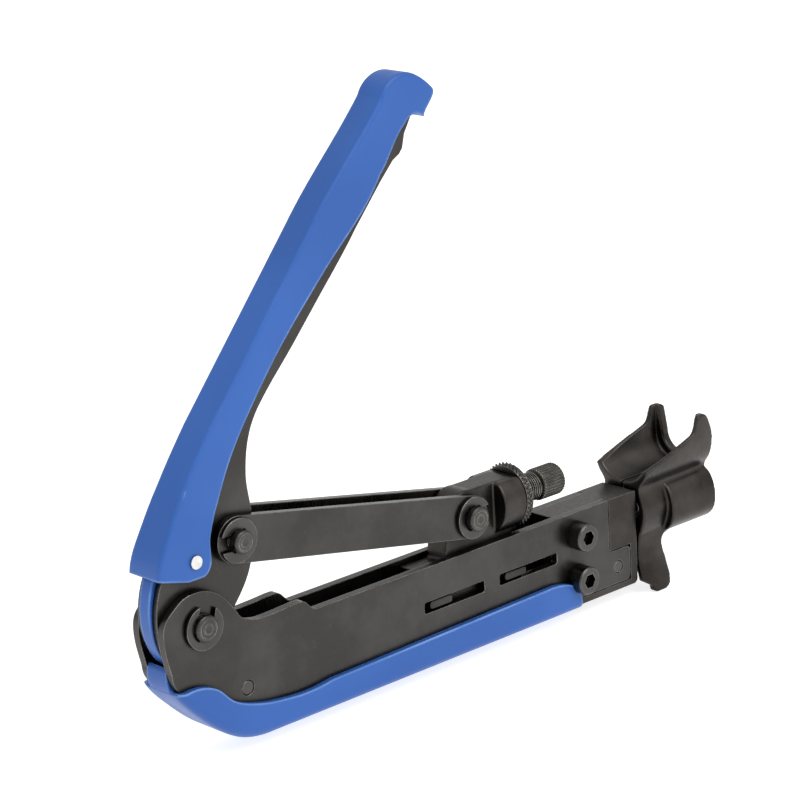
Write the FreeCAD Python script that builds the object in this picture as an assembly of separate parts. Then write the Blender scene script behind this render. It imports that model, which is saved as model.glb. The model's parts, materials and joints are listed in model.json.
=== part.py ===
"""Lever-action compression crimper for coaxial connectors, built open.

Millimetres. X runs along the tool towards the cable jaws, Z is up, Y is across.
The origin is on the compression axis, at the front edge of the cable notch.
"""
import FreeCAD, Part
import math
import os

os.makedirs("parts", exist_ok=True)
V = FreeCAD.Vector

# Overall sizes
BODY_LENGTH = 182.0        # front face of the head to the back of the side plates
BODY_WIDTH = 13.0          # over both side plates
BODY_DEPTH = 29.5          # straight top edge to the underside of the head
HANDLE_LENGTH = 160.0      # main pivot to the top of the upper grip
JAW_LENGTH = 31.0
JAW_FRONT = 2.8            # depth of the funnel in front of the cable notch
AXIS_HEIGHT = 10.0         # compression axis above the top edge of the plates

# Plates, links and levers
PLATE = 2.4
LEVER_PLATE = 2.0
LINK_HALF = 6.6            # half the height of a link
HANDLE_ANGLE = 49.5        # handle above the body when open
CRANK = 24.8               # main pivot to lever pin
CRANK_LEAD = 7.0           # lever pin ahead of the handle direction, degrees
CLOSING = 45.0
OPENING = 6.0

# Pins and clips
MAIN_PIN = 3.75            # radii
LEVER_PIN = 3.2
PLUNGER_PIN = 3.6
CLIP = 6.2
CLIP_THICK = 1.0
PIN_HEAD = 1.8
PIN_REACH = 1.5            # past the clip, frame pin
LINK_PIN_REACH = 2.5       # past the clip, link pins
GRIP_RIVET = 1.5
RIVET_CROWN = 0.35         # how much wider the rivet ends are
SCREW = 2.5
SCREW_HEAD = 4.25
SCREW_HEAD_HEIGHT = 5.0
NUT = 4.62                 # over the corners
DOWEL = 2.0

# Sliding carriage
STROKE = 12.2
SLOT_HEIGHT = 3.4
KEY_GAP = 0.4              # above and below a key in its slot
KEY_LENGTH = 8.9
KEY_BACK_GAP = 2.65
KEY_PITCH = 30.2
RING = 9.7
RING_THICK = 2.6
TIP = 4.85
TIP_LENGTH = 9.2
NECK = 4.3
STUD = 3.0
BARREL = 9.0               # round front of the carriage
BARREL_LENGTH = 8.8
BARREL_TOP = 7.0
TIP_TRAVEL = 1.5

# Cable jaws
TROUGH = 8.5
JAW_WALL = 1.4
NOTCH = 6.0
NOTCH_LENGTH = 2.7
JAW_FLARE = 1.13           # width at the back of the jaws over width at the front
JAW_PIN = 1.5
JAW_PIN_Y = 3.6
JAW_PIN_Z = -16.5

# Fits
SLIDE_FIT = 0.05           # running gap on a side
PIN_FIT = 0.05             # running gap on a radius
HELD = 0.02                # gap round a pin that is held still
SEAM = 0.3
SIDE_GAP = 0.1             # between neighbouring moving layers

# Derived positions
JAW_BACK = JAW_FRONT - JAW_LENGTH
HEAD_X = JAW_BACK - 1.0
TOP = -AXIS_HEIGHT
BOTTOM = TOP - BODY_DEPTH
HALF = BODY_WIDTH / 2
INNER = HALF - PLATE
BACK_X = HEAD_X - BODY_LENGTH
PIVOT_X = BACK_X + 13.2
PIVOT_Z = TOP + 6.5
PLUNGER_X = HEAD_X - 68.5
LEVER_OUT = INNER - SIDE_GAP
LEVER_IN = LEVER_OUT - LEVER_PLATE
LINK_IN = INNER
LINK_OUT = HALF - SIDE_GAP
PLATE_BOTTOM = BOTTOM + 2.2
SLOT_Z = TOP - 12.05
SLOT_LENGTH = KEY_LENGTH + KEY_BACK_GAP + STROKE + SEAM
SLOT_X = PLUNGER_X - 20.4
CARRIAGE_HALF = INNER - SLIDE_FIT
RING_X = PLUNGER_X + 20.0
TIP_END_X = RING_X + 20.8
LEVER_PIN_X = PIVOT_X + CRANK * math.cos(math.radians(HANDLE_ANGLE + CRANK_LEAD))
LEVER_PIN_Z = PIVOT_Z + CRANK * math.sin(math.radians(HANDLE_ANGLE + CRANK_LEAD))
LINK_LENGTH = math.hypot(PLUNGER_X - LEVER_PIN_X, LEVER_PIN_Z)
SCREW_X = HEAD_X - 26.0
SCREW_ZS = (TOP - 7.1, TOP - 20.6)


def wire(plane, start, steps):
    """Closed wire. A step is a point, ('arc', through, end) or ('curve', points)."""
    to3d = {"xz": lambda p: V(p[0], 0, p[1]), "yz": lambda p: V(0, p[0], p[1])}[plane]
    edges = []
    here = to3d(start)
    for step in steps + [start]:
        if step[0] == "arc":
            end = to3d(step[2])
            edges.append(Part.Arc(here, to3d(step[1]), end).toShape())
        elif step[0] == "curve":
            points = [here] + [to3d(p) for p in step[1]]
            curve = Part.BSplineCurve()
            curve.interpolate(points)
            edges.append(curve.toShape())
            end = points[-1]
        else:
            end = to3d(step)
            if end.distanceToPoint(here) > 1e-6:
                edges.append(Part.makeLine(here, end))
        here = end
    return Part.Wire(edges)


def slab(start, steps, y0, y1):
    """Side outline drawn in X and Z, thick from y0 to y1."""
    face = Part.Face(wire("xz", start, steps))
    face.translate(V(0, y0, 0))
    return face.extrude(V(0, y1 - y0, 0))


def bar(start, steps, x0, x1):
    """Cross-section drawn in Y and Z, long from x0 to x1."""
    face = Part.Face(wire("yz", start, steps))
    face.translate(V(x0, 0, 0))
    return face.extrude(V(x1 - x0, 0, 0))


def box(x0, x1, y0, y1, z0, z1):
    return Part.makeBox(x1 - x0, y1 - y0, z1 - z0, V(x0, y0, z0))


def rod_y(x, z, r, y0, y1):
    return Part.makeCylinder(r, y1 - y0, V(x, y0, z), V(0, 1, 0))


def rod_x(y, z, r, x0, x1):
    return Part.makeCylinder(r, x1 - x0, V(x0, y, z), V(1, 0, 0))


def join(*solids):
    return solids[0].multiFuse(list(solids[1:])).removeSplitter()


def both_sides(shape):
    """The shape and its mirror image across the middle of the tool."""
    return shape, shape.mirror(V(0, 0, 0), V(0, 1, 0))


def rounded(shape, r, wanted):
    """Round the edges whose middle point is wanted."""
    edges = []
    for edge in shape.Edges:
        middle = edge.valueAt((edge.FirstParameter + edge.LastParameter) / 2)
        if wanted(middle):
            edges.append(edge)
    return shape.makeFillet(r, edges)


def save(name, *shapes):
    whole = shapes[0] if len(shapes) == 1 else Part.makeCompound(list(shapes))
    whole.exportStep("parts/" + name + ".step")


def from_pivot(s, n):
    """Handle point: s along the handle from the main pivot, n towards its spine."""
    a = math.radians(HANDLE_ANGLE)
    x = PIVOT_X + s * math.cos(a) - n * math.sin(a)
    return (x, PIVOT_Z + s * math.sin(a) + n * math.cos(a))


def along_handle(points):
    return [from_pivot(s, n) for s, n in points]


def at_back(points):
    """Points measured from the main pivot."""
    return [(PIVOT_X + x, PIVOT_Z + z) for x, z in points]


# ---- side plates -------------------------------------------------------------
def side_plate(y0, y1):
    seam_x = HEAD_X - 12.1
    tab_x = HEAD_X - 3.1
    tab_z = TOP - 16.6
    hump = at_back([(34.2, -2.9), (32.2, -2.9), (29, -3.1), (24, -3.3), (19.5, -3.3), (16, -2.6)])
    shoulder = at_back([(12.9, -0.7), (9.6, 4), (6, 7.6), (1.7, 9.7), (-2.5, 10.1)])
    back = at_back([(-6, 9.4), (-9.4, 7.2), (-12.3, 4.4), (-13.2, 0), (-12.6, -5.3), (-11.4, -10.5)])
    under = at_back([(-9.4, -15.8), (-6.6, -18.6), (-2.5, -22.8), (3, -27.6), (9, -31.2)])
    under += at_back([(16, -33.2), (24, -33.8)])
    ramp_x = hump[0][0] + 6.0
    steps = [
        (seam_x, TOP),
        (seam_x, tab_z + 1.5),
        ("arc", (seam_x + 0.44, tab_z + 0.44), (seam_x + 1.5, tab_z)),
        (tab_x - 1.5, tab_z),
        ("arc", (tab_x - 0.44, tab_z - 0.44), (tab_x, tab_z - 1.5)),
        (tab_x, PLATE_BOTTOM + 1.5),
        ("arc", (tab_x - 0.44, PLATE_BOTTOM + 0.44), (tab_x - 1.5, PLATE_BOTTOM)),
        (under[-1][0], PLATE_BOTTOM),
        ("curve", [(x, z) for x, z in reversed(under[:-1])] + [back[-1]]),
        ("curve", list(reversed(back[:-1])) + list(reversed(shoulder))),
        ("curve", list(reversed(hump))),
        ("curve", [(ramp_x - 3.7, hump[0][1] - 1.1), (ramp_x - 1.7, TOP + 0.5), (ramp_x, TOP)]),
    ]
    plate = slab((ramp_x, TOP), steps, y0, y1)
    holes = [rod_y(PIVOT_X, PIVOT_Z, MAIN_PIN + HELD, -20, 20)]
    for z in SCREW_ZS:
        holes.append(rod_y(SCREW_X, z, SCREW + HELD, -20, 20))
    holes.append(rod_y(HEAD_X - 8.4, TOP - 22.2, DOWEL + HELD, -20, 20))
    holes.append(rod_y(PIVOT_X + 13.8, PIVOT_Z - 21.6, 2.2 + HELD, -20, 20))
    for i in range(2):
        x = SLOT_X + i * KEY_PITCH
        slot = box(x, x + SLOT_LENGTH, -20, 20, SLOT_Z - SLOT_HEIGHT / 2, SLOT_Z + SLOT_HEIGHT / 2)
        holes.append(rounded(slot, 0.6, lambda p: abs(p.y) < 0.01))
    return plate.cut(Part.makeCompound(holes))


near_plate = side_plate(-HALF, -INNER)
far_plate = side_plate(INNER, HALF)
save("side_plate_near", near_plate)
save("side_plate_far", far_plate)

# ---- head block --------------------------------------------------------------
BLOCK_BACK = SLOT_X + KEY_PITCH + SLOT_LENGTH + 0.6
narrow = box(BLOCK_BACK, HEAD_X - 11, -INNER, INNER, BOTTOM + 1, TOP)
wide = box(HEAD_X - 12.1 + SEAM, HEAD_X, -HALF, HALF, BOTTOM, TOP)
lip = box(HEAD_X - 25.4, HEAD_X - 5, -HALF, HALF, BOTTOM, PLATE_BOTTOM - SEAM)
tab = box(HEAD_X - 30, HEAD_X - 3.1 + SEAM, INNER, HALF + 1, PLATE_BOTTOM - SEAM, TOP - 16.6 + SEAM)
block = join(narrow, wide, lip).cut(Part.makeCompound(list(both_sides(tab))))
block = rounded(block, 1.5, lambda p: p.x > HEAD_X - 0.01 and p.z < BOTTOM + 0.01)
block = rounded(block, 0.5, lambda p: p.x > HEAD_X - 0.01 and p.z > TOP - 0.01)
cuts = [rod_y(SCREW_X, z, SCREW + HELD, -20, 20) for z in SCREW_ZS]
cuts.append(rod_y(HEAD_X - 8.4, TOP - 22.2, DOWEL + HELD, -20, 20))
for side in (-1, 1):
    cuts.append(rod_x(side * JAW_PIN_Y, JAW_PIN_Z, JAW_PIN + HELD, HEAD_X - 9, HEAD_X + 1))
save("head_block", block.cut(Part.makeCompound(cuts)))

# ---- lower grip --------------------------------------------------------------
GRIP_HALF = HALF + 1.9
GRIP_BOTTOM = BOTTOM - 0.7
GRIP_END = HEAD_X - 26.4
lip_line = at_back([(-9.2, -16), (-5.8, -15.8), (-0.7, -16.6), (2.9, -18.5), (6.7, -22.3), (9.1, -23.9)])
lip_rise = at_back([(14.2, -25.9), (18.3, -27), (24.8, -28), (31.9, -28.6), (39.3, -28.3), (43, -27.8)])
belly = at_back([(-11.4, -10.2), (-11.4, -14.6), (-10.6, -16.6), (-8.4, -19.6), (-5, -23.2), (0.2, -28.2)])
belly_end = at_back([(5.6, -32.4), (10.4, -35), (15.8, -36.4), (21.8, -36.7)])
heel_top = (lip_line[0][0] - 0.9, lip_line[0][1] + 0.1)
outer = slab(
    belly[2],
    [
        ("curve", belly[3:] + belly_end[:-1] + [(belly_end[-1][0], GRIP_BOTTOM)]),
        (GRIP_END, GRIP_BOTTOM),
        ("curve", [(GRIP_END - 0.4, GRIP_BOTTOM + 5), (GRIP_END - 2.6, GRIP_BOTTOM + 8.2)]),
        ("curve", [(GRIP_END - 6.5, GRIP_BOTTOM + 9.6), (GRIP_END - 14, GRIP_BOTTOM + 10.3)]),
        lip_rise[-1],
        ("curve", list(reversed(lip_rise[:-1])) + list(reversed(lip_line)) + [heel_top]),
    ],
    -GRIP_HALF,
    GRIP_HALF,
)
outer = rounded(outer, 2.6, lambda p: p.z < GRIP_BOTTOM + 0.5 and abs(p.y) > GRIP_HALF - 0.01)
web_top = at_back([(-10.6, -9.2), (-8.6, -11.6), (-5, -14), (0, -16.2), (6, -18.5), (16, -26.5)])
web = slab(
    belly[0],
    [
        ("curve", [belly[1], (belly[2][0] + 0.1, belly[2][1])]),
        (PIVOT_X - 3, PIVOT_Z - 22),
        (PIVOT_X + 14, PIVOT_Z - 31),
        (GRIP_END - 3, BOTTOM + 3),
        (GRIP_END - 3, TOP - 20.5),
        (GRIP_END - 20, TOP - 20.5),
        web_top[5],
        ("curve", [web_top[4], web_top[3], web_top[2], web_top[1], web_top[0]]),
    ],
    -INNER,
    INNER,
)
bites = [
    near_plate,
    far_plate,
    box(BLOCK_BACK - SEAM, 0, -INNER, INNER, BOTTOM + 1 - SEAM, TOP),
    rod_y(PIVOT_X + 13.8, PIVOT_Z - 21.6, 2.2 + HELD, -HALF, HALF),
    rod_y(SCREW_X, SCREW_ZS[-1], SCREW_HEAD + SIDE_GAP, -30, 0),
    rod_y(SCREW_X, SCREW_ZS[-1], NUT + SIDE_GAP, 0, 30),
]
grip = outer.fuse(web).cut(Part.makeCompound(bites))
grip = max(grip.Solids, key=lambda solid: solid.Volume)
save("lower_grip", grip)

# ---- fixed pins and screws ---------------------------------------------------
def clip_ring(x, z, groove, y0, turn, back_tooth=True):
    """E-shaped retaining clip round a groove, open on one side."""
    ring = rod_y(x, z, CLIP, y0, y0 + CLIP_THICK).cut(rod_y(x, z, groove + 0.9, y0 - 1, y0 + 3))
    teeth = box(x - CLIP + 0.7, x + CLIP - 0.7, y0, y0 + CLIP_THICK, z - 1.3, z + 1.3)
    tooth = box(x - 1.3, x + 1.3, y0, y0 + CLIP_THICK, z, z + CLIP - 0.7)
    inside = rod_y(x, z, groove + 0.03, y0 - 1, y0 + 3)
    mouth = box(x - groove * 0.86, x + groove * 0.86, y0 - 1, y0 + 3, z - CLIP - 1, z)
    ring = join(ring, teeth, tooth) if back_tooth else join(ring, teeth)
    ring = ring.cut(join(inside, mouth))
    ring.rotate(V(x, 0, z), V(0, 1, 0), turn)
    return ring


def hexagon(x, z, corner):
    """Corner points of a hexagon, corner being the radius over its corners."""
    turns = [math.radians(60 * i) for i in range(6)]
    return [(x + corner * math.cos(t), z + corner * math.sin(t)) for t in turns]


def headed_pin(x, z, r, stack, reach):
    """Pin with a flat head on the far side and a clip groove on the near side."""
    near = -stack - CLIP_THICK - reach
    shank = rod_y(x, z, r, near, stack + SIDE_GAP)
    head = rod_y(x, z, r + 1.7, stack + SIDE_GAP, stack + SIDE_GAP + PIN_HEAD)
    pin = join(shank, head)
    pin = pin.makeChamfer(0.4, [e for e in pin.Edges if e.BoundBox.YMax < near + 0.01])
    groove = rod_y(x, z, r + 1, -stack - CLIP_THICK - 0.15, -stack - 0.05)
    groove = groove.cut(rod_y(x, z, r - 0.6, -stack - 3, -stack + 1))
    return pin.cut(groove)


save("main_pivot_pin", headed_pin(PIVOT_X, PIVOT_Z, MAIN_PIN, HALF, PIN_REACH))
save("main_pivot_clip", clip_ring(PIVOT_X, PIVOT_Z, MAIN_PIN - 0.6, -HALF - CLIP_THICK - 0.1, 195))

screws = []
nuts = []
for z in SCREW_ZS:
    front = -HALF - SCREW_HEAD_HEIGHT
    head = rod_y(SCREW_X, z, SCREW_HEAD, front, -HALF)
    head = head.makeChamfer(0.4, [e for e in head.Edges if e.BoundBox.YMax < front + 0.01])
    shank = rod_y(SCREW_X, z, SCREW, -HALF, HALF + 4.6)
    socket = hexagon(SCREW_X, z, 2.31)
    screws.append(join(head, shank).cut(slab(socket[0], socket[1:], front - 1, front + 2.6)))
    corners = hexagon(SCREW_X, z, NUT)
    nut = slab(corners[0], corners[1:], HALF, HALF + 4.0)
    nuts.append(nut.cut(rod_y(SCREW_X, z, SCREW + HELD, 0, 20)))
save("head_screws", *screws)
save("head_nuts", *nuts)
dowel = rod_y(HEAD_X - 8.4, TOP - 22.2, DOWEL, -HALF, HALF)
save("head_dowel", dowel.makeChamfer(0.35, [e for e in dowel.Edges if e.Curve.TypeId == "Part::GeomCircle"]))
rear = rod_y(PIVOT_X + 13.8, PIVOT_Z - 21.6, 2.2, -HALF, HALF)
save("rear_rivet", rear.makeChamfer(0.35, [e for e in rear.Edges if e.Curve.TypeId == "Part::GeomCircle"]))



def coil(y, z, x, turns, wire_size, inner):
    """Close-wound coil as a ribbed sleeve turned about a line along X."""
    steps = []
    for i in range(turns):
        middle = (x + (i + 0.5) * wire_size, inner + wire_size)
        steps.append(("arc", middle, (x + (i + 1) * wire_size, inner + wire_size * 0.6)))
    steps.append((x + turns * wire_size, inner))
    steps.append((x, inner))
    profile = Part.Face(wire("xz", (x, inner + wire_size * 0.6), steps))
    sleeve = profile.revolve(V(0, 0, 0), V(1, 0, 0), 360)
    sleeve.translate(V(0, y, z))
    return sleeve


jaw_pins = []
jaw_springs = []
for side in (-1, 1):
    jaw_pins.append(rod_x(side * JAW_PIN_Y, JAW_PIN_Z, JAW_PIN, HEAD_X - 8.5, JAW_FRONT - 0.6))
    jaw_springs.append(coil(side * JAW_PIN_Y, JAW_PIN_Z, JAW_BACK + 0.5, 6, 0.8, JAW_PIN + 0.15))
save("jaw_pins", *jaw_pins)
save("jaw_springs", *jaw_springs)

# ---- upper lever -------------------------------------------------------------
TOP_S = HANDLE_LENGTH
RIVET_AT = from_pivot(13.6, 12.5)
lever_edge = [(TOP_S - 10.3, 15), (TOP_S - 10.3, 13.8), (TOP_S - 16, 12.9), (TOP_S - 19.5, 11.2)]
lever_hump = [(TOP_S - 21.4, 11.2), (TOP_S - 24, 12.2), (TOP_S - 31, 12.7), (TOP_S - 46, 13.1)]
lever_bow = [(104, 13.2), (94, 13.7), (84, 14.1), (74, 14.6), (66, 15.2), (60, 15.4), (55, 15.1)]
lever_bend = [(51, 14.1), (46.7, 12.2), (43, 9.9), (40, 7.6)]
lever_low = [(37.5, 5.0), (34.5, 1.6), (28, -3.6), (21.8, -7.4), (14.2, -9.0)]


def lobe(radius, degrees):
    """Points round the main pivot in handle directions."""
    return [(radius * math.cos(math.radians(d)), radius * math.sin(math.radians(d))) for d in degrees]


def lever_plate(y0, y1):
    turn = lobe(12.3, (-47, -110, 180))
    steps = along_handle(lever_edge[1:]) + along_handle(lever_hump)
    steps.append(("curve", along_handle(lever_bow + lever_bend + lever_low + [turn[0]])))
    steps.append(("arc", from_pivot(*turn[1]), from_pivot(*turn[2])))
    steps.append(("curve", along_handle([(-11.4, 5), (-7.4, 10.8), (-2.2, 14.9), (3, 17.3)])))
    steps += [from_pivot(16, 20.5), from_pivot(TOP_S - 12, 21.5)]
    plate = slab(from_pivot(*lever_edge[0]), steps, y0, y1)
    holes = [
        rod_y(PIVOT_X, PIVOT_Z, MAIN_PIN + PIN_FIT, -20, 20),
        rod_y(LEVER_PIN_X, LEVER_PIN_Z, LEVER_PIN + HELD, -20, 20),
        rod_y(*RIVET_AT, GRIP_RIVET + HELD, -20, 20),
    ]
    return plate.cut(Part.makeCompound(holes))


near_lever = lever_plate(-LEVER_OUT, -LEVER_IN)
far_lever = lever_plate(LEVER_IN, LEVER_OUT)
save("lever_plate_near", near_lever)
save("lever_plate_far", far_lever)

core_turn = lobe(12.9, (-95, -140, 172))
core_steps = [from_pivot(34, 4), ("curve", along_handle([(26, -2), (17, -6.5), (8, -10), core_turn[0]]))]
core_steps.append(("arc", from_pivot(*core_turn[1]), from_pivot(*core_turn[2])))
core_steps.append(("curve", along_handle([(-11.7, 5.4), (-8.4, 10.8), (-3.2, 15.6), (3.4, 18.9)])))
core_steps += [from_pivot(16, 20.5), from_pivot(TOP_S - 13, 21)]
core_steps += [from_pivot(TOP_S - 13, 16), from_pivot(TOP_S - 46, 14.5), from_pivot(80, 15.4)]
core_steps += [from_pivot(62, 16.6), from_pivot(54, 16.2), from_pivot(46, 13.4)]
core = slab(from_pivot(42, 9.5), core_steps, -LEVER_IN, LEVER_IN)
core_holes = [
    rod_y(PIVOT_X, PIVOT_Z, MAIN_PIN + PIN_FIT, -20, 20),
    rod_y(LEVER_PIN_X, LEVER_PIN_Z, LEVER_PIN + HELD, -20, 20),
    rod_y(*RIVET_AT, GRIP_RIVET + HELD, -20, 20),
]
core = core.cut(Part.makeCompound(core_holes))
rim = rod_y(PIVOT_X, PIVOT_Z, 60, -LEVER_IN, LEVER_IN).cut(rod_y(PIVOT_X, PIVOT_Z, 11.3, -20, 20))
wedge = slab(
    from_pivot(0, 0), [from_pivot(14, 40), from_pivot(-40, 40), from_pivot(-40, -26)], -20, 20
)
rim = rim.common(wedge)
save("lever_core", core.cut(rim))
save("grip_tail", core.common(rim))

COVER_HALF = 6.6           # at the pivot end; the grip narrows towards the top
COVER_TOP_HALF = 5.0
cover_bow = [(TOP_S - 48, 15.4), (104, 16.6), (95, 17.6), (86, 18.4), (76, 19.0), (66, 19.1), (56, 18.7)]
inner_line = [(30, 14.2), (27, 13.4), (23.2, 12.1), (20.7, 11.0), (18.5, 9.3), (16, 7.3)]
cover_steps = [
    ("curve", along_handle([(9, 23.2), (14, 24.4), (22, 26), (31, 27.2), (45, 28.2)])),
    from_pivot(TOP_S * 0.66, 28.6),
    ("curve", along_handle([(TOP_S - 40, 28.3), (TOP_S - 27, 27.4), (TOP_S - 13, 26.9)])),
    ("curve", along_handle([(TOP_S - 6, 26.1), (TOP_S - 2.5, 23), (TOP_S - 0.7, 18), (TOP_S - 0.4, 13.6)])),
    ("curve", along_handle([(TOP_S - 1.2, 11.4), (TOP_S - 3.2, 10.8), (TOP_S - 8.8, 10.2)])),
    ("curve", along_handle([(TOP_S - 9.6, 13.2), (TOP_S - 11.9, 14.9), (TOP_S - 14.2, 15.2)])),
    ("curve", along_handle([(TOP_S - 17.5, 15.6), (TOP_S - 22, 15.3), (TOP_S - 30, 14.9)])),
    ("curve", along_handle(cover_bow + [(45, 17.7), (36, 15.9)] + inner_line)),
    ("curve", along_handle([(14.2, 6.7), (12.4, 6.9), (11, 8.0)])),
    from_pivot(8.1, 11.4),
]
cover = slab(from_pivot(3.7, 20.7), cover_steps, -COVER_HALF, COVER_HALF)


def handle_plan(halves, n0, n1):
    """Plan outline of the handle, given as (s, half width), from n0 to n1."""
    a = math.radians(HANDLE_ANGLE)
    along = V(math.cos(a), 0, math.sin(a))
    across = V(-math.sin(a), 0, math.cos(a))
    origin = V(PIVOT_X, 0, PIVOT_Z) + across * n0
    loop = [(s, -w) for s, w in halves] + [(s, w) for s, w in reversed(halves)]
    points = [origin + along * s + V(0, y, 0) for s, y in loop]
    face = Part.Face(Part.makePolygon(points + points[:1]))
    return face.extrude(across * (n1 - n0))


taper = [(-10, COVER_HALF), (6, COVER_HALF), (28, 5.6), (TOP_S + 10, COVER_TOP_HALF)]
cover = cover.common(handle_plan(taper, -30, 50))


def on_spine(p):
    a = math.radians(HANDLE_ANGLE)
    s = (p.x - PIVOT_X) * math.cos(a) + (p.z - PIVOT_Z) * math.sin(a)
    n = -(p.x - PIVOT_X) * math.sin(a) + (p.z - PIVOT_Z) * math.cos(a)
    return (n > 22 or s > TOP_S - 1.5) and abs(p.y) > 4.9


cover = rounded(cover, 1.0, on_spine)
pocket = slab(
    from_pivot(-20, 0),
    [
        from_pivot(-20, 12),
        from_pivot(3, 17.6),
        from_pivot(16, 20.6),
        from_pivot(TOP_S - 12, 21.6),
        from_pivot(TOP_S - 10.2, 15.2),
        from_pivot(TOP_S - 10.2, 5),
        from_pivot(40, -20),
    ],
    -LEVER_OUT,
    LEVER_OUT,
)
rivet_x, rivet_z = RIVET_AT
cover = cover.cut(pocket).cut(core).cut(rod_y(rivet_x, rivet_z, GRIP_RIVET + HELD, -20, 20))
save("upper_grip", cover)
rivet = join(
    rod_y(rivet_x, rivet_z, GRIP_RIVET, -COVER_HALF, COVER_HALF),
    rod_y(rivet_x, rivet_z, GRIP_RIVET + RIVET_CROWN, -COVER_HALF - 0.4, -COVER_HALF),
    rod_y(rivet_x, rivet_z, GRIP_RIVET + RIVET_CROWN, COVER_HALF, COVER_HALF + 0.4),
)
save("grip_rivet", rivet)
save("lever_pin", headed_pin(LEVER_PIN_X, LEVER_PIN_Z, LEVER_PIN, LINK_OUT, LINK_PIN_REACH))
link_clip_y = -LINK_OUT - CLIP_THICK - 0.1
save("lever_pin_clip", clip_ring(LEVER_PIN_X, LEVER_PIN_Z, LEVER_PIN - 0.6, link_clip_y, 90))

# ---- toggle link -------------------------------------------------------------
def link_plate(y0, y1):
    dx = PLUNGER_X - LEVER_PIN_X
    dz = -LEVER_PIN_Z
    ux, uz = dx / LINK_LENGTH, dz / LINK_LENGTH
    nx, nz = -uz, ux
    front = 6.3

    def at(s, n):
        return (LEVER_PIN_X + s * ux + n * nx, LEVER_PIN_Z + s * uz + n * nz)

    steps = [
        ("arc", at(-LINK_HALF, 0), at(0, LINK_HALF)),
        at(LINK_LENGTH, front),
        ("arc", at(LINK_LENGTH + front, 0), at(LINK_LENGTH, -front)),
    ]
    plate = slab(at(0, -LINK_HALF), steps, y0, y1)
    holes = [
        rod_y(LEVER_PIN_X, LEVER_PIN_Z, LEVER_PIN + PIN_FIT, -20, 20),
        rod_y(PLUNGER_X, 0, PLUNGER_PIN + HELD, -20, 20),
    ]
    return plate.cut(Part.makeCompound(holes))


save("link_plate_near", link_plate(-LINK_OUT, -LINK_IN))
save("link_plate_far", link_plate(LINK_IN, LINK_OUT))
save("plunger_pin", headed_pin(PLUNGER_X, 0, PLUNGER_PIN, LINK_OUT, LINK_PIN_REACH))
save("plunger_pin_clip", clip_ring(PLUNGER_X, 0, PLUNGER_PIN - 0.6, link_clip_y, -90, False))

# ---- carriage ----------------------------------------------------------------
BAR_TOP = TOP - 1.5
BAR_BOTTOM = TOP - 16.5
KEY_X = SLOT_X + KEY_BACK_GAP
bar_end = KEY_X + KEY_PITCH + KEY_LENGTH
bar_low = box(KEY_X - 2.2, bar_end, -CARRIAGE_HALF, CARRIAGE_HALF, BAR_BOTTOM, BAR_TOP)
post = slab(
    (PLUNGER_X - 9.5, BAR_TOP - 1),
    [
        (PLUNGER_X + 17.5, BAR_TOP - 1),
        (RING_X - 2, TOP + 0.4),
        (RING_X - 2, 7.2),
        (PLUNGER_X + 2, 7.2),
        ("arc", (PLUNGER_X - 5.3, 5.0), (PLUNGER_X - 7.3, 0.6)),
        (PLUNGER_X - 8.5, TOP + 2),
    ],
    -CARRIAGE_HALF,
    CARRIAGE_HALF,
)
barrel_x = RING_X - BARREL_LENGTH
head = rod_x(0, 0, BARREL, barrel_x, RING_X).common(box(barrel_x, RING_X, -20, 20, TOP + 0.3, BARREL_TOP))
head = rounded(head, 0.8, lambda p: p.z > BARREL_TOP - 0.01)
flare = bar(
    (-CARRIAGE_HALF, TOP + 0.3),
    [(CARRIAGE_HALF, TOP + 0.3), (CARRIAGE_HALF, 7.0), (-CARRIAGE_HALF, 7.0)],
    PLUNGER_X + 10,
    RING_X,
)
carriage = join(bar_low, post, head, flare)
keys = []
key_low = SLOT_Z - SLOT_HEIGHT / 2 + KEY_GAP
key_high = SLOT_Z + SLOT_HEIGHT / 2 - KEY_GAP
for i in range(2):
    x = KEY_X + i * KEY_PITCH
    key = box(x, x + KEY_LENGTH, -HALF + 0.3, HALF - 0.3, key_low, key_high)
    keys.append(rounded(key, 1.1, lambda p: abs(p.y) < 0.01))
carriage = join(carriage, *keys)


def pin_way(theta):
    """Where the link carries the plunger pin, seen from the sliding carriage."""
    a = math.radians(HANDLE_ANGLE + CRANK_LEAD - theta)
    x = PIVOT_X + CRANK * math.cos(a)
    z = PIVOT_Z + CRANK * math.sin(a)
    first = math.asin(LEVER_PIN_Z / LINK_LENGTH)
    a_shut = math.radians(HANDLE_ANGLE + CRANK_LEAD - CLOSING)
    last = math.asin((PIVOT_Z + CRANK * math.sin(a_shut)) / LINK_LENGTH)
    slope = first - (first - last) * theta / CLOSING
    moved = STROKE * theta / CLOSING
    return (x + LINK_LENGTH * math.cos(slope) - PLUNGER_X - moved, z - LINK_LENGTH * math.sin(slope))


way = []
for i in range(25):
    dx, dz = pin_way(-OPENING + (OPENING + CLOSING) * i / 24)
    way.append(rod_y(PLUNGER_X + dx, dz, PLUNGER_PIN + 0.12, -20, 20))
carriage = carriage.cut(way[0].multiFuse(way[1:]))
carriage = carriage.cut(rod_x(0, 0, STUD + 0.05, PLUNGER_X + 7, RING_X + 1))
save("plunger_carriage", carriage.removeSplitter())

ring = rod_x(0, 0, RING, RING_X + SIDE_GAP, RING_X + SIDE_GAP + RING_THICK)
ring = ring.makeChamfer(0.35, [e for e in ring.Edges if e.Curve.TypeId == "Part::GeomCircle"])
save("lock_ring", ring.cut(rod_x(0, 0, STUD + 0.05, RING_X - 1, RING_X + 9)))

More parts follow.
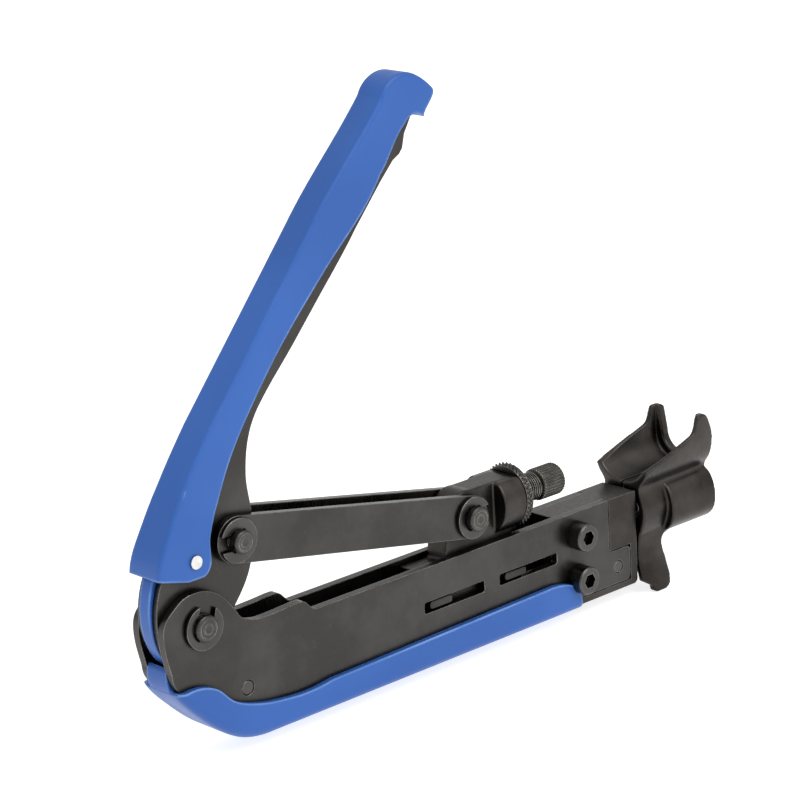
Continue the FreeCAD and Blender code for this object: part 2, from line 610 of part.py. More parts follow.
neck_x = RING_X + SIDE_GAP + RING_THICK + TIP_TRAVEL + 0.2
tip_x = TIP_END_X - TIP_LENGTH
stud = join(
    rod_x(0, 0, STUD, PLUNGER_X + 9.5, neck_x + 0.5),
    rod_x(0, 0, NECK, neck_x, tip_x - SIDE_GAP),
    rod_x(0, 0, 2.2, tip_x - 0.5, tip_x + 4),
)
save("tip_stud", stud)
tip = rod_x(0, 0, TIP, tip_x, TIP_END_X)
tip = tip.makeChamfer(0.4, [e for e in tip.Edges if e.Curve.TypeId == "Part::GeomCircle"])
tip = tip.cut(rod_x(0, 0, 2.2 + PIN_FIT, tip_x - 1, tip_x + 4.3)).cut(rod_x(0, 0, 1.6, tip_x, TIP_END_X + 1))
save("knurled_tip", tip)

# ---- cable jaws --------------------------------------------------------------
half = 0.2                 # half the gap between the two jaws
OUTSIDE = TROUGH + JAW_WALL
section = [
    ("arc", (TROUGH * 0.7071, -TROUGH * 0.7071), (TROUGH, 0)),
    (TROUGH, 9),
    (OUTSIDE, 9),
    (OUTSIDE, 0),
    (
        "curve",
        [
            (OUTSIDE - 0.2, -2), (OUTSIDE - 0.8, -4.8), (OUTSIDE - 2.0, -7.3),
            (6.5, -9.6), (6.7, -12), (7.5, -14.8), (8.0, -17.8),
        ],
    ),
    ("curve", [(7.5, -21), (6.4, -24.2)]),
    (5.0, -25.2),
    (3.0, -25.2),
    (half + 3.4, JAW_PIN_Z - 5),
    (half, JAW_PIN_Z + 1),
]


def widened(steps, factor):
    """The same outline stretched across the tool."""
    out = []
    for step in steps:
        if step[0] == "arc":
            out.append(("arc", (step[1][0] * factor, step[1][1]), (step[2][0] * factor, step[2][1])))
        elif step[0] == "curve":
            out.append(("curve", [(y * factor, z) for y, z in step[1]]))
        else:
            out.append((step[0] * factor, step[1]))
    return out


rear_wire = wire("yz", (half * JAW_FLARE, -TROUGH), widened(section, JAW_FLARE))
rear_wire.translate(V(JAW_BACK, 0, 0))
front_wire = wire("yz", (half, -TROUGH), section)
front_wire.translate(V(JAW_FRONT, 0, 0))
shell = Part.makeLoft([rear_wire, front_wire], True, True)
boss_section = [
    ("curve", [(8.9, -12.6), (10.1, -15.0), (10.7, -18.8), (10.4, -22.0), (9.0, -24.6), (6.5, -26.4)]),
    (3.2, -27.4),
    (3.2, -12),
]
boss = bar((6.6, -10.6), boss_section, JAW_BACK + 11.2, JAW_FRONT)
end_wall = bar(
    (half, -NOTCH),
    [
        ("arc", (NOTCH * 0.7071, -NOTCH * 0.7071), (NOTCH, 0)),
        (TROUGH - 0.7, 9),
        (TROUGH + 0.6, 9),
        (TROUGH + 0.6, 0),
        ("arc", ((TROUGH + 0.55) * 0.7071, -(TROUGH + 0.55) * 0.7071), (half, -TROUGH - 0.5)),
    ],
    -NOTCH_LENGTH,
    JAW_FRONT,
)
flare = JAW_FRONT + 0.1
mouth = Part.makeCone(NOTCH, NOTCH + flare, flare, V(0, 0, 0), V(1, 0, 0))
corners = [V(0, -5, 0), V(0, NOTCH, 0), V(flare, NOTCH + flare, 0), V(flare, -5, 0)]
slant = Part.Face(Part.makePolygon(corners + corners[:1]))
mouth = mouth.fuse(slant.extrude(V(0, 2.6, 13)))
thumb = bar(
    (7.6, -21.5),
    [
        ("curve", [(6.9, -24.6), (6.3, -28.5), (6.4, -33), (8.2, -39), (9.7, -44)]),
        (7.0, -44),
        ("curve", [(5.9, -39), (4.3, -33), (3.6, -28), (4.2, -22)]),
    ],
    JAW_BACK,
    JAW_BACK + 17,
)
thumb_side = slab(
    (JAW_BACK, -20),
    [
        (JAW_BACK, -39.4),
        (JAW_BACK + 3.9, -41.8),
        (JAW_BACK + 3.9, -43.2),
        (JAW_BACK + 4.7, -43.7),
        (JAW_BACK + 9.6, -43.5),
        ("curve", [(JAW_BACK + 11.0, -42.0), (JAW_BACK + 11.7, -39), (JAW_BACK + 11.6, -36)]),
        ("curve", [(JAW_BACK + 10.9, -31), (JAW_BACK + 10.9, -28.6), (JAW_BACK + 12.2, -27.0)]),
        (JAW_BACK + 16.5, -26),
        (JAW_BACK + 16.5, -20),
    ],
    0,
    20,
)
far_jaw = join(shell, boss, end_wall, thumb.common(thumb_side))
rim = slab(
    (JAW_BACK - 1, -4.6),
    [
        (JAW_BACK + 19.8, 1.9),
        (JAW_BACK + 21.0, 2.3),
        ("curve", [(JAW_BACK + 22.3, 3.2), (JAW_BACK + 23.2, 5.0), (JAW_BACK + 23.7, 6.9)]),
        ("curve", [(JAW_BACK + 24.1, 7.6), (JAW_BACK + 24.9, 7.9)]),
        (JAW_FRONT - 3.8, 7.9),
        ("curve", [(JAW_FRONT - 2.6, 7.1), (JAW_FRONT - 1.6, 5.4), (JAW_FRONT - 0.9, 3.7)]),
        ("curve", [(JAW_FRONT - 0.3, 1.6), (JAW_FRONT, -0.8)]),
        (JAW_FRONT + 2, -0.8),
        (JAW_FRONT + 2, 20),
        (JAW_BACK - 1, 20),
    ],
    -20,
    20,
)
far_jaw = far_jaw.cut(rim).cut(mouth)
far_jaw = far_jaw.cut(rod_x(JAW_PIN_Y, JAW_PIN_Z, JAW_PIN + PIN_FIT, JAW_BACK - 1, JAW_FRONT + 1))
far_jaw = far_jaw.cut(rod_x(JAW_PIN_Y, JAW_PIN_Z, 2.95, JAW_BACK - 1, JAW_BACK + 5.5))
far_jaw = far_jaw.removeSplitter()
near_jaw = far_jaw.mirror(V(0, 0, 0), V(0, 1, 0))
save("jaw_far", far_jaw)
save("jaw_near", near_jaw)
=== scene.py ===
"""Looks of the coaxial compression crimper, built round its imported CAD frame. Metres."""

import json
import math

import bmesh
import bpy
from mathutils import Euler, Matrix, Vector

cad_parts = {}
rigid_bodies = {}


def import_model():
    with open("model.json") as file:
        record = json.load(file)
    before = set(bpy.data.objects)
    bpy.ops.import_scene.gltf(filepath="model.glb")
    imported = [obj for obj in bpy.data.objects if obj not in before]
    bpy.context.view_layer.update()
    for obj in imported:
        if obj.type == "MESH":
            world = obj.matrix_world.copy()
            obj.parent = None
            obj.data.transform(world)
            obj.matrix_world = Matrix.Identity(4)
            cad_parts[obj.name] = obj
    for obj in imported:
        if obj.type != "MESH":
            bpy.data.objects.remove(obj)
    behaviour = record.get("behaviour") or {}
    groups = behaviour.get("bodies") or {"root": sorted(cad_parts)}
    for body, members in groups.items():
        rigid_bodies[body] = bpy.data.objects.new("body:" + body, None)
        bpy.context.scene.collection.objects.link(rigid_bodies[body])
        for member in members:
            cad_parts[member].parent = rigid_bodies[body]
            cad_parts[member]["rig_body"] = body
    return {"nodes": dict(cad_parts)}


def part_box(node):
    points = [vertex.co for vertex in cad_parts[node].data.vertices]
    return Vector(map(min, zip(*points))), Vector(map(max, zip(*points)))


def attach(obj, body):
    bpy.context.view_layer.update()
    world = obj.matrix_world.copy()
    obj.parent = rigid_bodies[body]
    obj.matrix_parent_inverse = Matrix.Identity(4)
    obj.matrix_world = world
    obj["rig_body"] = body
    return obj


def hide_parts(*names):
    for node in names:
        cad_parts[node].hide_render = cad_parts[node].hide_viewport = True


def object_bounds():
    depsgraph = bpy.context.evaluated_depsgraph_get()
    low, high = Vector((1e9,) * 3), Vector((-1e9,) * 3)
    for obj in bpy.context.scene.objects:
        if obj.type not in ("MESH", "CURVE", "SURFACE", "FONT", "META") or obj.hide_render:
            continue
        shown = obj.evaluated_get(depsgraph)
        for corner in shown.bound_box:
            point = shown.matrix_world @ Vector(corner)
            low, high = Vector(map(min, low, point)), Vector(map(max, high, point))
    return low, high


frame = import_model()
cad_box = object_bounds()
NODES = frame["nodes"]
MM = 0.001

# ---- sizes, in millimetres unless they say otherwise ------------------------------
CAMERA_AT = (-0.64062, -0.57531, 0.27052)   # metres
CAMERA_HEADING = 47.713                     # degrees from the jaws' direction
CAMERA_DOWN = 16.602                        # degrees
CAMERA_ROLL = -3.04                         # degrees
CAMERA_LENS = 130.5
CAMERA_SENSOR = 36.0
FLOOR_RINGS = (0.5, 1.5, 4.0, 9.0)          # metres
FLOOR_SPOKES = 64
FLOOR_GAP = 0.0002                          # metres under the lowest point
WORLD_LIGHT = 0.85
KEY_LIGHT = 1.6
KEY_WIDTH = 45                              # degrees
GRID = 0.34                                 # voxel of the castings
RING_OUTER = 9.68
RING_BORE = 3.05
RING_CELLS = 38
TIP_OUTER = 4.84
TIP_BORE = 1.62
TIP_TEETH = 32
SPIGOT = 2.18                               # front end of the stud, inside the tip
THREAD = 2.98
COLLAR = 4.28
COLLAR_GAP = 1.7                            # lock ring to collar
PITCH = 0.8                                 # of the grooves that stand for threads
SPRING_Y = 3.6
SPRING_RADIUS = 2.1
SPRING_GAUGE = 0.33
SPRING_TURNS = 6
SPRING_STEPS = 28                           # in each turn of wire
WIRE_SIDES = 8
PIN_HEAD = 1.8
PIN_FLANGE = 1.7                            # head of a pin past its shank, on the radius
PIN_GROOVE = 0.6                            # depth of the clip's groove
CLIP_ROOM = 1.0
FACING = 0.14                               # depth of the rings faced into a pin's end
PIN_SLIMMING = 0.2                          # of the jaw pins, on the radius
CHAMFER = 0.4
WELD = 1e-6                                 # metres


# ---- camera, light and stage ---------------------------------------------------
def add_camera():
    data = bpy.data.cameras.new("camera")
    data.sensor_width = CAMERA_SENSOR
    data.lens = CAMERA_LENS
    data.clip_start, data.clip_end = 0.02, 20.0
    cam = bpy.data.objects.new("camera", data)
    bpy.context.scene.collection.objects.link(cam)
    heading, down, roll = (math.radians(a) for a in (CAMERA_HEADING, CAMERA_DOWN, CAMERA_ROLL))
    look = Vector((math.cos(heading) * math.cos(down), math.sin(heading) * math.cos(down), -math.sin(down)))
    level = Vector((math.sin(heading), -math.cos(heading), 0.0))
    up = level.cross(look)
    right = level * math.cos(roll) + up * math.sin(roll)
    up = right.cross(look)
    turn = Matrix((right, up, -look)).transposed()
    cam.matrix_world = Matrix.Translation(CAMERA_AT) @ turn.to_4x4()
    bpy.context.scene.camera = cam


def add_sun(name, strength, width, heading, height, colour):
    data = bpy.data.lights.new(name, "SUN")
    data.energy = strength
    data.angle = math.radians(width)
    data.color = colour
    lamp = bpy.data.objects.new(name, data)
    bpy.context.scene.collection.objects.link(lamp)
    lamp.rotation_euler = Euler((math.radians(90 - height), 0, math.radians(heading)))


def add_world(strength):
    world = bpy.data.worlds.new("studio")
    bpy.context.scene.world = world
    world.use_nodes = True
    back = world.node_tree.nodes["Background"]
    back.inputs["Color"].default_value = (1.0, 1.0, 1.0, 1.0)
    back.inputs["Strength"].default_value = strength


def add_floor(height):
    """Pale round floor, lit a little from inside so that shadows on it stay faint."""
    bm = bmesh.new()
    hub = bm.verts.new((0, 0, height))
    rings = []
    for radius in FLOOR_RINGS:
        ring = []
        for i in range(FLOOR_SPOKES):
            turn = math.tau * i / FLOOR_SPOKES
            ring.append(bm.verts.new((radius * math.cos(turn), radius * math.sin(turn), height)))
        rings.append(ring)
    for i in range(FLOOR_SPOKES):
        j = (i + 1) % FLOOR_SPOKES
        bm.faces.new((hub, rings[0][i], rings[0][j]))
        for a, b in zip(rings, rings[1:]):
            bm.faces.new((a[i], b[i], b[j], a[j]))
    floor = mesh_object("floor", bm)
    mat, _, shader = new_material("floor_paper")
    shader.inputs["Base Color"].default_value = (0.55, 0.55, 0.55, 1)
    shader.inputs["Roughness"].default_value = 0.9
    shader.inputs["Specular IOR Level"].default_value = 0.1
    shader.inputs["Emission Color"].default_value = (1, 1, 1, 1)
    shader.inputs["Emission Strength"].default_value = 0.75
    floor.data.materials.append(mat)


# ---- mesh helpers --------------------------------------------------------------
def mesh_object(name, bm):
    bmesh.ops.recalc_face_normals(bm, faces=bm.faces)
    mesh = bpy.data.meshes.new(name)
    bm.to_mesh(mesh)
    bm.free()
    obj = bpy.data.objects.new(name, mesh)
    bpy.context.scene.collection.objects.link(obj)
    return obj


def turned(name, rings, centre, axis, count, bored=False):
    """Lathe-like solid. rings holds (distance along the axis, radius or function of the angle), mm.

    A bored piece's last ring joins its first one; a solid piece is closed at both ends.
    """
    bm = bmesh.new()
    loops = []
    for along, radius in rings:
        loop = []
        for i in range(count):
            turn = math.tau * i / count
            r = radius(turn) if callable(radius) else radius
            a, b = r * math.cos(turn), r * math.sin(turn)
            at = (along, a, b) if axis == "x" else (a, along, b)
            loop.append(bm.verts.new(Vector(centre) * MM + Vector(at) * MM))
        loops.append(loop)
    pairs = list(zip(loops, loops[1:])) + ([(loops[-1], loops[0])] if bored else [])
    for a, b in pairs:
        for i in range(count):
            j = (i + 1) % count
            bm.faces.new((a[i], b[i], b[j], a[j]))
    if not bored:
        for loop in (loops[0], loops[-1]):
            bm.faces.new(loop)
    return mesh_object(name, bm)


def smooth(obj, degrees=32):
    for face in obj.data.polygons:
        face.use_smooth = True
    obj.data.set_sharp_from_angle(angle=math.radians(degrees))
    return obj


def stands_for(piece, node, material):
    piece.data.materials.append(material)
    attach(piece, NODES[node]["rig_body"])
    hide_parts(node)


# ---- material helpers ----------------------------------------------------------
def new_material(name):
    mat = bpy.data.materials.new(name)
    mat.use_nodes = True
    return mat, mat.node_tree, mat.node_tree.nodes["Principled BSDF"]


def add(tree, kind, **settings):
    made = tree.nodes.new(kind)
    for key, value in settings.items():
        setattr(made, key, value)
    return made


def noise(tree, where, scale, detail=4.0, rough=0.55, stretch=None):
    made = add(tree, "ShaderNodeTexNoise")
    made.inputs["Scale"].default_value = scale
    made.inputs["Detail"].default_value = detail
    made.inputs["Roughness"].default_value = rough
    if stretch:
        mapping = add(tree, "ShaderNodeMapping")
        mapping.inputs["Scale"].default_value = stretch
        tree.links.new(where, mapping.inputs["Vector"])
        where = mapping.outputs["Vector"]
    tree.links.new(where, made.inputs["Vector"])
    return made.outputs["Fac"]


def spread(tree, value, low, high, to_low=0.0, to_high=1.0):
    made = add(tree, "ShaderNodeMapRange", clamp=True, interpolation_type="SMOOTHSTEP")
    for key, number in (("From Min", low), ("From Max", high), ("To Min", to_low), ("To Max", to_high)):
        made.inputs[key].default_value = number
    tree.links.new(value, made.inputs["Value"])
    return made.outputs["Result"]


def math_node(tree, operation, a, b):
    made = add(tree, "ShaderNodeMath", operation=operation)
    for socket, value in zip(made.inputs, (a, b)):
        if isinstance(value, (int, float)):
            socket.default_value = value
        else:
            tree.links.new(value, socket)
    return made.outputs[0]


def blend(tree, fac, a, b):
    made = add(tree, "ShaderNodeMix", data_type="RGBA")
    tree.links.new(fac, made.inputs["Factor"])
    for socket, value in ((made.inputs[6], a), (made.inputs[7], b)):
        if isinstance(value, tuple):
            socket.default_value = (*value, 1.0)
        else:
            tree.links.new(value, socket)
    return made.outputs[2]


def edge_mask(tree, radius, start, full):
    """1 along outer and inner edges within about the radius, and the rounded normal."""
    bevel = add(tree, "ShaderNodeBevel", samples=6)
    bevel.inputs["Radius"].default_value = radius
    geometry = add(tree, "ShaderNodeNewGeometry")
    dot = add(tree, "ShaderNodeVectorMath", operation="DOT_PRODUCT")
    tree.links.new(bevel.outputs["Normal"], dot.inputs[0])
    tree.links.new(geometry.outputs["Normal"], dot.inputs[1])
    away = math_node(tree, "SUBTRACT", 1.0, dot.outputs["Value"])
    return spread(tree, away, start, full), bevel.outputs["Normal"]


def bump(tree, height, distance, strength, normal=None):
    made = add(tree, "ShaderNodeBump")
    made.inputs["Distance"].default_value = distance
    made.inputs["Strength"].default_value = strength
    tree.links.new(height, made.inputs["Height"])
    if normal is not None:
        tree.links.new(normal, made.inputs["Normal"])
    return made.outputs["Normal"]


def painted_gap_shade_mask(tree, reach):
    """1 in the open and less in gaps and corners, by ambient occlusion; it drives painted shade."""
    made = add(tree, "ShaderNodeAmbientOcclusion", samples=8)
    made.inputs["Distance"].default_value = reach
    return spread(tree, made.outputs["AO"], 0.25, 0.85)


def oxide_steel(name, dark, light, bare_edge_and_highlight, rough=0.30, grain=1600.0, depth=1.5e-5, bare_edge_and_highlight_amount=0.6, stretch=None,
                centre=None):
    """Black-oxide steel: mottled dark gloss, painted shade that turns gaps black, edges painted bright as
    bare metal and as painted highlight, rings round any centre.
    """
    mat, tree, shader = new_material(name)
    where = add(tree, "ShaderNodeTexCoord").outputs["Object"]
    cloud = noise(tree, where, 42.0, 5.0, 0.6)
    fine = noise(tree, where, grain, 3.0, 0.6, stretch)
    patch = noise(tree, where, 260.0, 4.0, 0.65)
    colour = blend(tree, spread(tree, cloud, 0.35, 0.68), dark, light)
    rubbed = spread(tree, patch, 0.60, 0.78, 0.0, 0.22)
    colour = blend(tree, rubbed, colour, tuple(c * 1.5 for c in light))
    # Painted shade: the base colour falls to a quarter of the dark tone in gaps and corners.
    unshaded_share = painted_gap_shade_mask(tree, 0.006)
    colour = blend(tree, unshaded_share, tuple(c * 0.25 for c in dark), colour)
    # Edges painted bright: partly bare metal rubbed through the oxide, partly painted highlight for the
    # glint along the edges.
    mask, normal = edge_mask(tree, 0.00045, 0.012, 0.14)
    broken = spread(tree, patch, 0.34, 0.62, 0.3, 1.0)
    edge = math_node(tree, "MULTIPLY", math_node(tree, "MULTIPLY", mask, broken), bare_edge_and_highlight_amount)
    edge = math_node(tree, "MULTIPLY", edge, unshaded_share)
    colour = blend(tree, edge, colour, bare_edge_and_highlight)
    tree.links.new(colour, shader.inputs["Base Color"])
    shader.inputs["Metallic"].default_value = 1.0
    gloss = math_node(tree, "ADD", spread(tree, cloud, 0.3, 0.7, -0.04, 0.05),
                      spread(tree, fine, 0.3, 0.7, rough - 0.04, rough + 0.05))
    tree.links.new(math_node(tree, "ADD", gloss, math_node(tree, "MULTIPLY", edge, 0.08)),
                   shader.inputs["Roughness"])
    height = fine
    if centre is not None:
        shift = add(tree, "ShaderNodeVectorMath", operation="SUBTRACT")
        shift.inputs[1].default_value = tuple(c * MM for c in centre)
        tree.links.new(where, shift.inputs[0])
        rings = add(tree, "ShaderNodeTexWave", wave_type="RINGS", rings_direction="Y", wave_profile="SIN")
        rings.inputs["Scale"].default_value = 330.0
        rings.inputs["Distortion"].default_value = 0.4
        tree.links.new(shift.outputs["Vector"], rings.inputs["Vector"])
        height = math_node(tree, "ADD", fine, math_node(tree, "MULTIPLY", rings.outputs["Fac"], 1.6))
    tree.links.new(bump(tree, height, depth, 0.7, normal), shader.inputs["Normal"])
    return mat


def grip_plastic(name, deep, fresh, edge_sheen_blue):
    """Dipped vinyl grip: satin, fine pebble, faint flow streaks, edges blended to a light blue as painted
    highlight.
    """
    mat, tree, shader = new_material(name)
    where = add(tree, "ShaderNodeTexCoord").outputs["Object"]
    cloud = noise(tree, where, 16.0, 3.0, 0.5)
    pebble = noise(tree, where, 2600.0, 2.0, 0.5)
    streak = noise(tree, where, 90.0, 4.0, 0.6, (0.35, 1.6, 0.5))
    colour = blend(tree, spread(tree, cloud, 0.35, 0.68), deep, fresh)
    # Painted highlight: the edges turn light blue, broken up by the streaks.
    mask, normal = edge_mask(tree, 0.0012, 0.008, 0.12)
    sheen_breakup = spread(tree, streak, 0.42, 0.7, 0.35, 0.9)
    edge = math_node(tree, "MULTIPLY", mask, sheen_breakup)
    colour = blend(tree, edge, colour, edge_sheen_blue)
    tree.links.new(colour, shader.inputs["Base Color"])
    tree.links.new(spread(tree, streak, 0.3, 0.72, 0.34, 0.44), shader.inputs["Roughness"])
    shader.inputs["Specular IOR Level"].default_value = 0.4
    height = math_node(tree, "ADD", pebble, math_node(tree, "MULTIPLY", streak, 2.0))
    tree.links.new(bump(tree, height, 2.0e-5, 0.45, normal), shader.inputs["Normal"])
    return mat


def bright_metal(name, colour, rough):
    mat, tree, shader = new_material(name)
    where = add(tree, "ShaderNodeTexCoord").outputs["Object"]
    cloud = noise(tree, where, 300.0, 4.0, 0.6)
    fine = noise(tree, where, 3000.0, 3.0, 0.6)
    tone = blend(tree, spread(tree, cloud, 0.35, 0.7), tuple(c * 0.8 for c in colour), colour)
    mask, normal = edge_mask(tree, 0.0002, 0.02, 0.2)
    tone = blend(tree, mask, tone, tuple(c * 1.1 for c in colour))
    tree.links.new(tone, shader.inputs["Base Color"])
    shader.inputs["Metallic"].default_value = 1.0
    tree.links.new(spread(tree, fine, 0.3, 0.7, rough - 0.06, rough + 0.08), shader.inputs["Roughness"])
    tree.links.new(bump(tree, fine, 1.0e-5, 0.5, normal), shader.inputs["Normal"])
    return mat


def dress(node, material):
    obj = NODES[node]
    if not obj.material_slots:
        obj.data.materials.append(material)
    for slot in obj.material_slots:
        slot.material = material


# ---- materials -----------------------------------------------------------------
# Edge colour: bare metal rubbed through the oxide, made bright enough to serve as painted highlight as well.
BARE_EDGE_AND_HIGHLIGHT = (0.40, 0.38, 0.35)
plate_steel = oxide_steel("plate_steel", (0.049, 0.047, 0.044), (0.070, 0.068, 0.064), BARE_EDGE_AND_HIGHLIGHT,
                          stretch=(1.0, 1.0, 0.16))
# Painted shade: a darker copy of the plate steel for the recessed lever core.
shaded_inner_steel = oxide_steel("shaded_inner_steel", (0.026, 0.024, 0.022), (0.040, 0.038, 0.035), BARE_EDGE_AND_HIGHLIGHT,
                          rough=0.40, bare_edge_and_highlight_amount=0.35)
cast_steel = oxide_steel("cast_steel", (0.033, 0.029, 0.027), (0.064, 0.058, 0.054), (0.30, 0.28, 0.26),
                         rough=0.33, grain=950.0, depth=4.0e-5, bare_edge_and_highlight_amount=0.55)
pin_steel = oxide_steel("pin_steel", (0.064, 0.061, 0.058), (0.088, 0.084, 0.080), BARE_EDGE_AND_HIGHLIGHT,
                        rough=0.30, bare_edge_and_highlight_amount=0.7)
knurl_steel = oxide_steel("knurl_steel", (0.036, 0.034, 0.030), (0.058, 0.055, 0.049), (0.42, 0.40, 0.36),
                          rough=0.32, bare_edge_and_highlight_amount=0.9)
grip_blue = grip_plastic("grip_blue", (0.009, 0.075, 0.315), (0.015, 0.093, 0.365), (0.26, 0.44, 0.86))
rivet_bright = bright_metal("rivet_bright", (0.78, 0.77, 0.75), 0.34)
spring_steel = bright_metal("spring_steel", (0.33, 0.31, 0.29), 0.36)

for plate in ("side_plate_near", "side_plate_far", "link_plate_near", "link_plate_far", "lever_plate_near",
              "lever_plate_far"):
    dress(plate, plate_steel)
dress("lever_core", shaded_inner_steel)
dress("head_block", cast_steel)
for piece in ("main_pivot_clip", "head_nuts", "head_dowel", "rear_rivet", "lever_pin_clip",
              "plunger_pin_clip", "head_screws"):
    dress(piece, pin_steel)
for piece in ("lower_grip", "upper_grip", "grip_tail"):
    dress(piece, grip_blue)
dress("grip_rivet", rivet_bright)


# ---- turned, knurled and wound pieces --------------------------------------------
def middle(node):
    low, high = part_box(node)
    return [(a + b) / 2 / MM for a, b in zip(low, high)]


def span(node):
    """Where a node starts and ends along the compression axis, mm."""
    low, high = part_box(node)
    return low.x / MM, high.x / MM


def teeth(radius, depth, count, sharp):
    """Radius as a function of the angle, with rounded teeth."""
    def at(turn):
        wave = 0.5 + 0.5 * math.cos(count * turn)
        return radius - depth * (1.0 - wave ** sharp)
    return at


def lock_ring():
    """Locking ring with a diamond-knurled rim."""
    x0, x1 = span("lock_ring")
    outer, bore, cells = RING_OUTER, RING_BORE, RING_CELLS
    rings = [(x0, bore), (x0, outer - 1.2), (x0 + 0.12, outer - 0.75)]
    steps = 12
    for i in range(steps + 1):
        part = i / steps
        lead = math.tau / cells * part * 1.5

        def rim(turn, lead=lead, part=part):
            one = 0.5 + 0.5 * math.cos(cells * (turn - lead))
            two = 0.5 + 0.5 * math.cos(cells * (turn + lead))
            ends = min(1.0, 4.0 * min(part, 1.0 - part) + 0.25)
            return outer - 0.8 * (1.0 - ends * (one * two) ** 0.5) - 0.2 * (1.0 - ends)
        rings.append((x0 + 0.25 + (x1 - x0 - 0.5) * part, rim))
    rings += [(x1 - 0.12, outer - 0.75), (x1, outer - 1.2), (x1, bore)]
    piece = turned("knurled_lock_ring", rings, (0, 0, 0), "x", 8 * cells, bored=True)
    stands_for(smooth(piece, 50), "lock_ring", knurl_steel)


def tip():
    """Driver tip with a straight knurl, a rounded front and its bore."""
    x0, x1 = span("knurled_tip")
    outer, socket = TIP_OUTER, SPIGOT + 0.08
    knurl = teeth(outer, 0.36, TIP_TEETH, 0.8)
    rings = [(x0, socket), (x0, outer - 0.85), (x0 + 0.25, outer - 0.5), (x0 + 0.55, knurl)]
    rings += [(x0 + 0.55 + (x1 - x0 - 1.1) * i / 5, knurl) for i in range(1, 6)]
    rings += [(x1 - 0.25, outer - 0.45), (x1 - 0.06, outer - 0.75), (x1, outer - 1.05), (x1, 1.95),
              (x1 - 0.35, TIP_BORE), (x1 - 4.85, TIP_BORE), (x1 - 4.9, socket)]
    piece = turned("straight_knurled_tip", rings, (0, 0, 0), "x", 8 * TIP_TEETH, bored=True)
    stands_for(smooth(piece, 40), "knurled_tip", knurl_steel)


def grooves(start, end, profile):
    """The (distance, radius) steps of one groove, repeated once a pitch from start to end."""
    rings = []
    at = start
    while at + PITCH < end:
        rings += [(at + step, radius) for step, radius in profile]
        at += PITCH
    return rings


def stud():
    """Adjusting stud: fine thread behind the collar, a grooved collar, and the spigot in the tip."""
    x0, x1 = span("tip_stud")
    tip_x = span("knurled_tip")[0]
    neck_x = span("lock_ring")[1] + COLLAR_GAP
    rings = [(x0, 2.3), (x0 + 0.6, 2.9)]
    rings += grooves(x0 + 0.8, neck_x, [(0, THREAD), (0.1, THREAD), (0.4, 2.62), (0.5, 2.62)])
    rings += [(neck_x, THREAD), (neck_x + 0.01, 3.7), (neck_x + 0.3, COLLAR)]
    rings += grooves(neck_x + 0.9, tip_x - 0.6, [(0, COLLAR), (0.1, 3.75), (0.35, 3.75), (0.45, COLLAR)])
    rings += [(tip_x - 0.45, COLLAR), (tip_x - 0.12, 3.9), (tip_x - 0.11, SPIGOT), (x1, SPIGOT)]
    piece = turned("threaded_stud", rings, (0, 0, 0), "x", 64)
    stands_for(smooth(piece, 25), "tip_stud", knurl_steel)


def faced_pin(node, radius, stack):
    """Clip-held pin through a stack of plates; rings are faced into its near end, its far head is domed."""
    x, _, z = middle(node)
    low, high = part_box(node)
    y0, y1 = low.y / MM, high.y / MM
    near, head = -stack - CLIP_ROOM, y1 - PIN_HEAD
    flange = radius + PIN_FLANGE
    rings = [(y0 + 0.22, 0.55), (y0 + 0.06, 0.8), (y0 + 0.02, 1.2), (y0 + FACING, 1.35), (y0 + FACING, 1.55),
             (y0, 1.75), (y0, radius * 0.66), (y0 + FACING, radius * 0.70), (y0 + FACING, radius * 0.76),
             (y0 + 0.02, radius * 0.80), (y0 + 0.02, radius - 0.40), (y0 + 0.12, radius - 0.2),
             (y0 + 0.4, radius)]
    rings += [(near - 0.15, radius), (near - 0.15, radius - PIN_GROOVE),
              (-stack - 0.05, radius - PIN_GROOVE), (-stack - 0.05, radius)]
    rings += [(head, radius), (head, flange - 0.15), (head + 0.15, flange), (y1 - 0.55, flange),
              (y1 - 0.2, flange - 0.25), (y1 - 0.05, flange - 0.8), (y1, radius * 0.4)]
    skin = oxide_steel(node + "_steel", (0.055, 0.052, 0.050), (0.080, 0.076, 0.072), BARE_EDGE_AND_HIGHLIGHT, rough=0.36,
                       bare_edge_and_highlight_amount=0.75, centre=(x, 0, z))
    piece = turned(node + "_faced", rings, (x, 0, z), "y", 96)
    stands_for(smooth(piece, 28), node, skin)


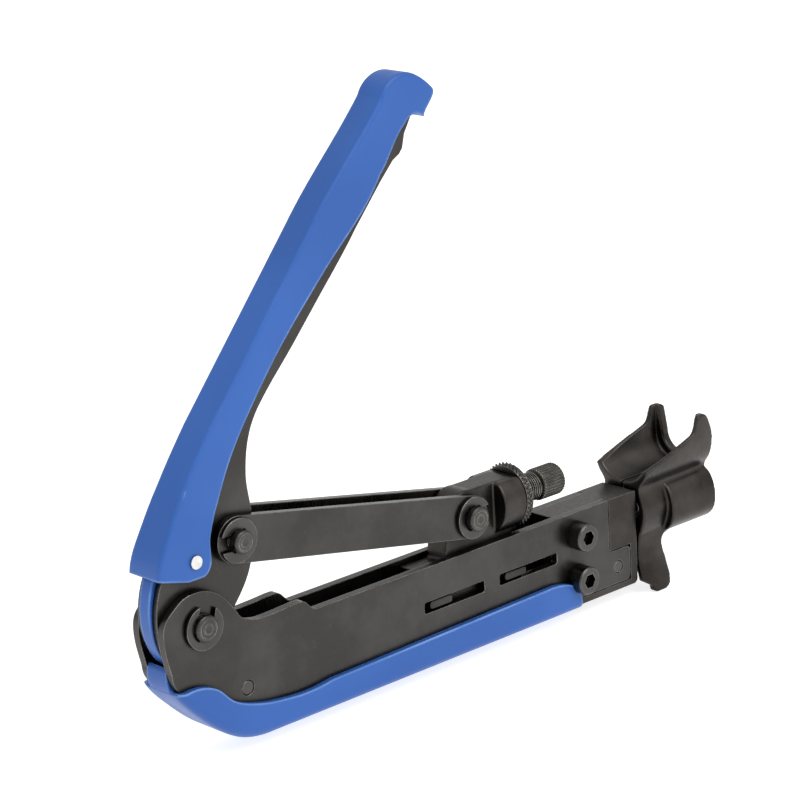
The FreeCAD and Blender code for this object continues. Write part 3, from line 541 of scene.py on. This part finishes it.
def coils():
    """Return springs of the jaws, wound from wire."""
    low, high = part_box("jaw_springs")
    inset = (SPRING_GAUGE + 0.02) * MM
    x0, x1 = low.x + inset, high.x - inset
    gauge = SPRING_GAUGE * MM
    steps = SPRING_TURNS * SPRING_STEPS
    for side, name in ((-1, "near"), (1, "far")):
        y, z = side * SPRING_Y * MM, (low.z + high.z) / 2
        bm = bmesh.new()
        loops = []
        for i in range(steps + 1):
            turn = math.tau * SPRING_TURNS * i / steps
            out = Vector((0, math.cos(turn), math.sin(turn)))
            centre = Vector((x0 + (x1 - x0) * i / steps, y, z)) + out * SPRING_RADIUS * MM
            loop = []
            for k in range(WIRE_SIDES):
                a = math.tau * k / WIRE_SIDES
                loop.append(bm.verts.new(centre + (out * math.cos(a) + Vector((math.sin(a), 0, 0))) * gauge))
            loops.append(loop)
        for a, b in zip(loops, loops[1:]):
            for k in range(WIRE_SIDES):
                j = (k + 1) % WIRE_SIDES
                bm.faces.new((a[k], b[k], b[j], a[j]))
        for loop in (loops[0], loops[-1]):
            bm.faces.new(loop)
        piece = smooth(mesh_object("jaw_spring_" + name, bm), 60)
        stands_for(piece, "jaw_springs", spring_steel)


def hinge_pins():
    """Pins of the jaws with chamfered ends, slim enough to clear the rounded bores of the castings."""
    low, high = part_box("jaw_pins")
    x0, x1 = span("jaw_pins")
    half = (high.z - low.z) / 2 / MM
    slim = half - PIN_SLIMMING
    for y, name in ((low.y / MM + half, "near"), (high.y / MM - half, "far")):
        rings = [(x0, slim - CHAMFER), (x0 + CHAMFER, slim), (x1 - CHAMFER, slim), (x1, slim - CHAMFER)]
        piece = turned("jaw_pin_" + name, rings, (0, y, low.z / MM + half), "x", 48)
        stands_for(smooth(piece, 30), "jaw_pins", pin_steel)


def cast_piece(node):
    """A casting: the CAD shape with its edges and corners softly rounded."""
    piece = bpy.data.objects.new(node + "_casting", NODES[node].data.copy())
    bpy.context.scene.collection.objects.link(piece)
    piece.data.materials.clear()
    weld = piece.modifiers.new("weld", "WELD")
    weld.merge_threshold = WELD
    grid = piece.modifiers.new("grid", "REMESH")
    grid.mode = "VOXEL"
    grid.voxel_size = GRID * MM
    grid.use_smooth_shade = True
    soft = piece.modifiers.new("soft", "SMOOTH")
    soft.factor = 0.5
    soft.iterations = 5
    stands_for(piece, node, cast_steel)


lock_ring()
tip()
stud()
faced_pin("main_pivot_pin", 3.75, 6.5)
faced_pin("lever_pin", 3.2, 6.4)
faced_pin("plunger_pin", 3.6, 6.4)
coils()
hinge_pins()
cast_piece("jaw_near")
cast_piece("jaw_far")
cast_piece("plunger_carriage")

add_camera()
add_world(WORLD_LIGHT)
add_sun("key", KEY_LIGHT, KEY_WIDTH, 10, 50, (1.0, 0.99, 0.97))
add_floor(cad_box[0].z - FLOOR_GAP)
bpy.context.scene.view_settings.view_transform = "Standard"
